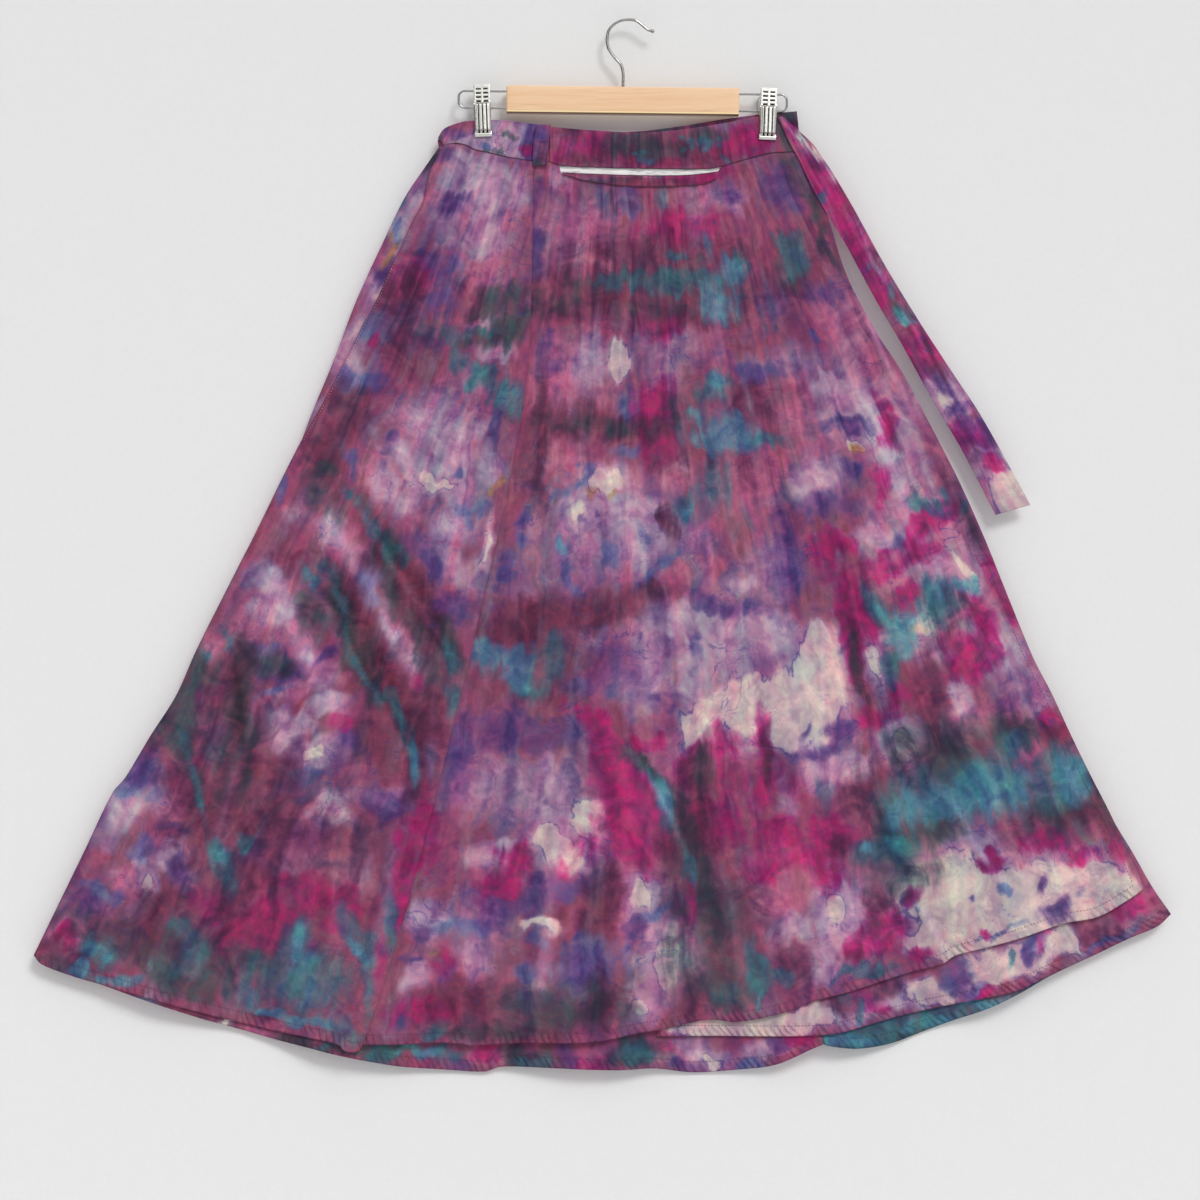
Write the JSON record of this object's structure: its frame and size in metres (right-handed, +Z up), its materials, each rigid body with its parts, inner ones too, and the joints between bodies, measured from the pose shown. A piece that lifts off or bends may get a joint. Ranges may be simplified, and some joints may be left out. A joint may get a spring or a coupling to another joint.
{
  "type": "wrap skirt on a clip hanger",
  "caption": "Long A-line wrap skirt in tie-dyed cotton with a slot pocket, a belt loop and a tie, held flat by the clips of a wooden hanger.",
  "frame": {"origin": "the inside of the hook's bend, at its top, where it rests on a rail or a wall hook", "axes": "+X across the skirt to the viewer's right, +Y from the front to the back, +Z up"},
  "size_m": [1.1939, 0.0262, 1.1082],
  "materials": {
    "dyed_cotton_front": "plain woven cotton, ice-dyed in magenta, mauve and teal",
    "dyed_cotton_under": "plain woven cotton, ice-dyed, mostly mauve",
    "dyed_cotton_back": "plain woven cotton, ice-dyed, with more teal",
    "dyed_cotton_band": "doubled woven cotton, ice-dyed",
    "dyed_cotton_tie": "folded woven cotton, ice-dyed, pale at its end",
    "white_lining": "white lining with a slight sheen",
    "plated_wire": "bright plated wire",
    "clip_steel": "pressed and plated steel",
    "pale_wood": "pale wood, sanded and clear sealed"
  },
  "bodies": {
    "root": {"back_gore_left": "dyed_cotton_back", "back_gore_right": "dyed_cotton_back", "belt_loop": "dyed_cotton_band", "clip_left_back_jaw": "clip_steel", "clip_left_front_jaw": "clip_steel", "clip_right_back_jaw": "clip_steel", "clip_right_front_jaw": "clip_steel", "front_centre_gore": "dyed_cotton_front", "front_side_gore": "dyed_cotton_front", "front_under_wrap": "dyed_cotton_under", "hanger_bar": "pale_wood", "hanger_hook": "plated_wire", "hanger_wire_left": "plated_wire", "hanger_wire_right": "plated_wire", "pocket_lining": "white_lining", "pocket_welt": "dyed_cotton_front", "tie": "dyed_cotton_tie", "waistband_back": "dyed_cotton_band", "waistband_front_centre": "dyed_cotton_band", "waistband_front_side": "dyed_cotton_band", "waistband_under": "dyed_cotton_band"}
  },
  "joints": []
}
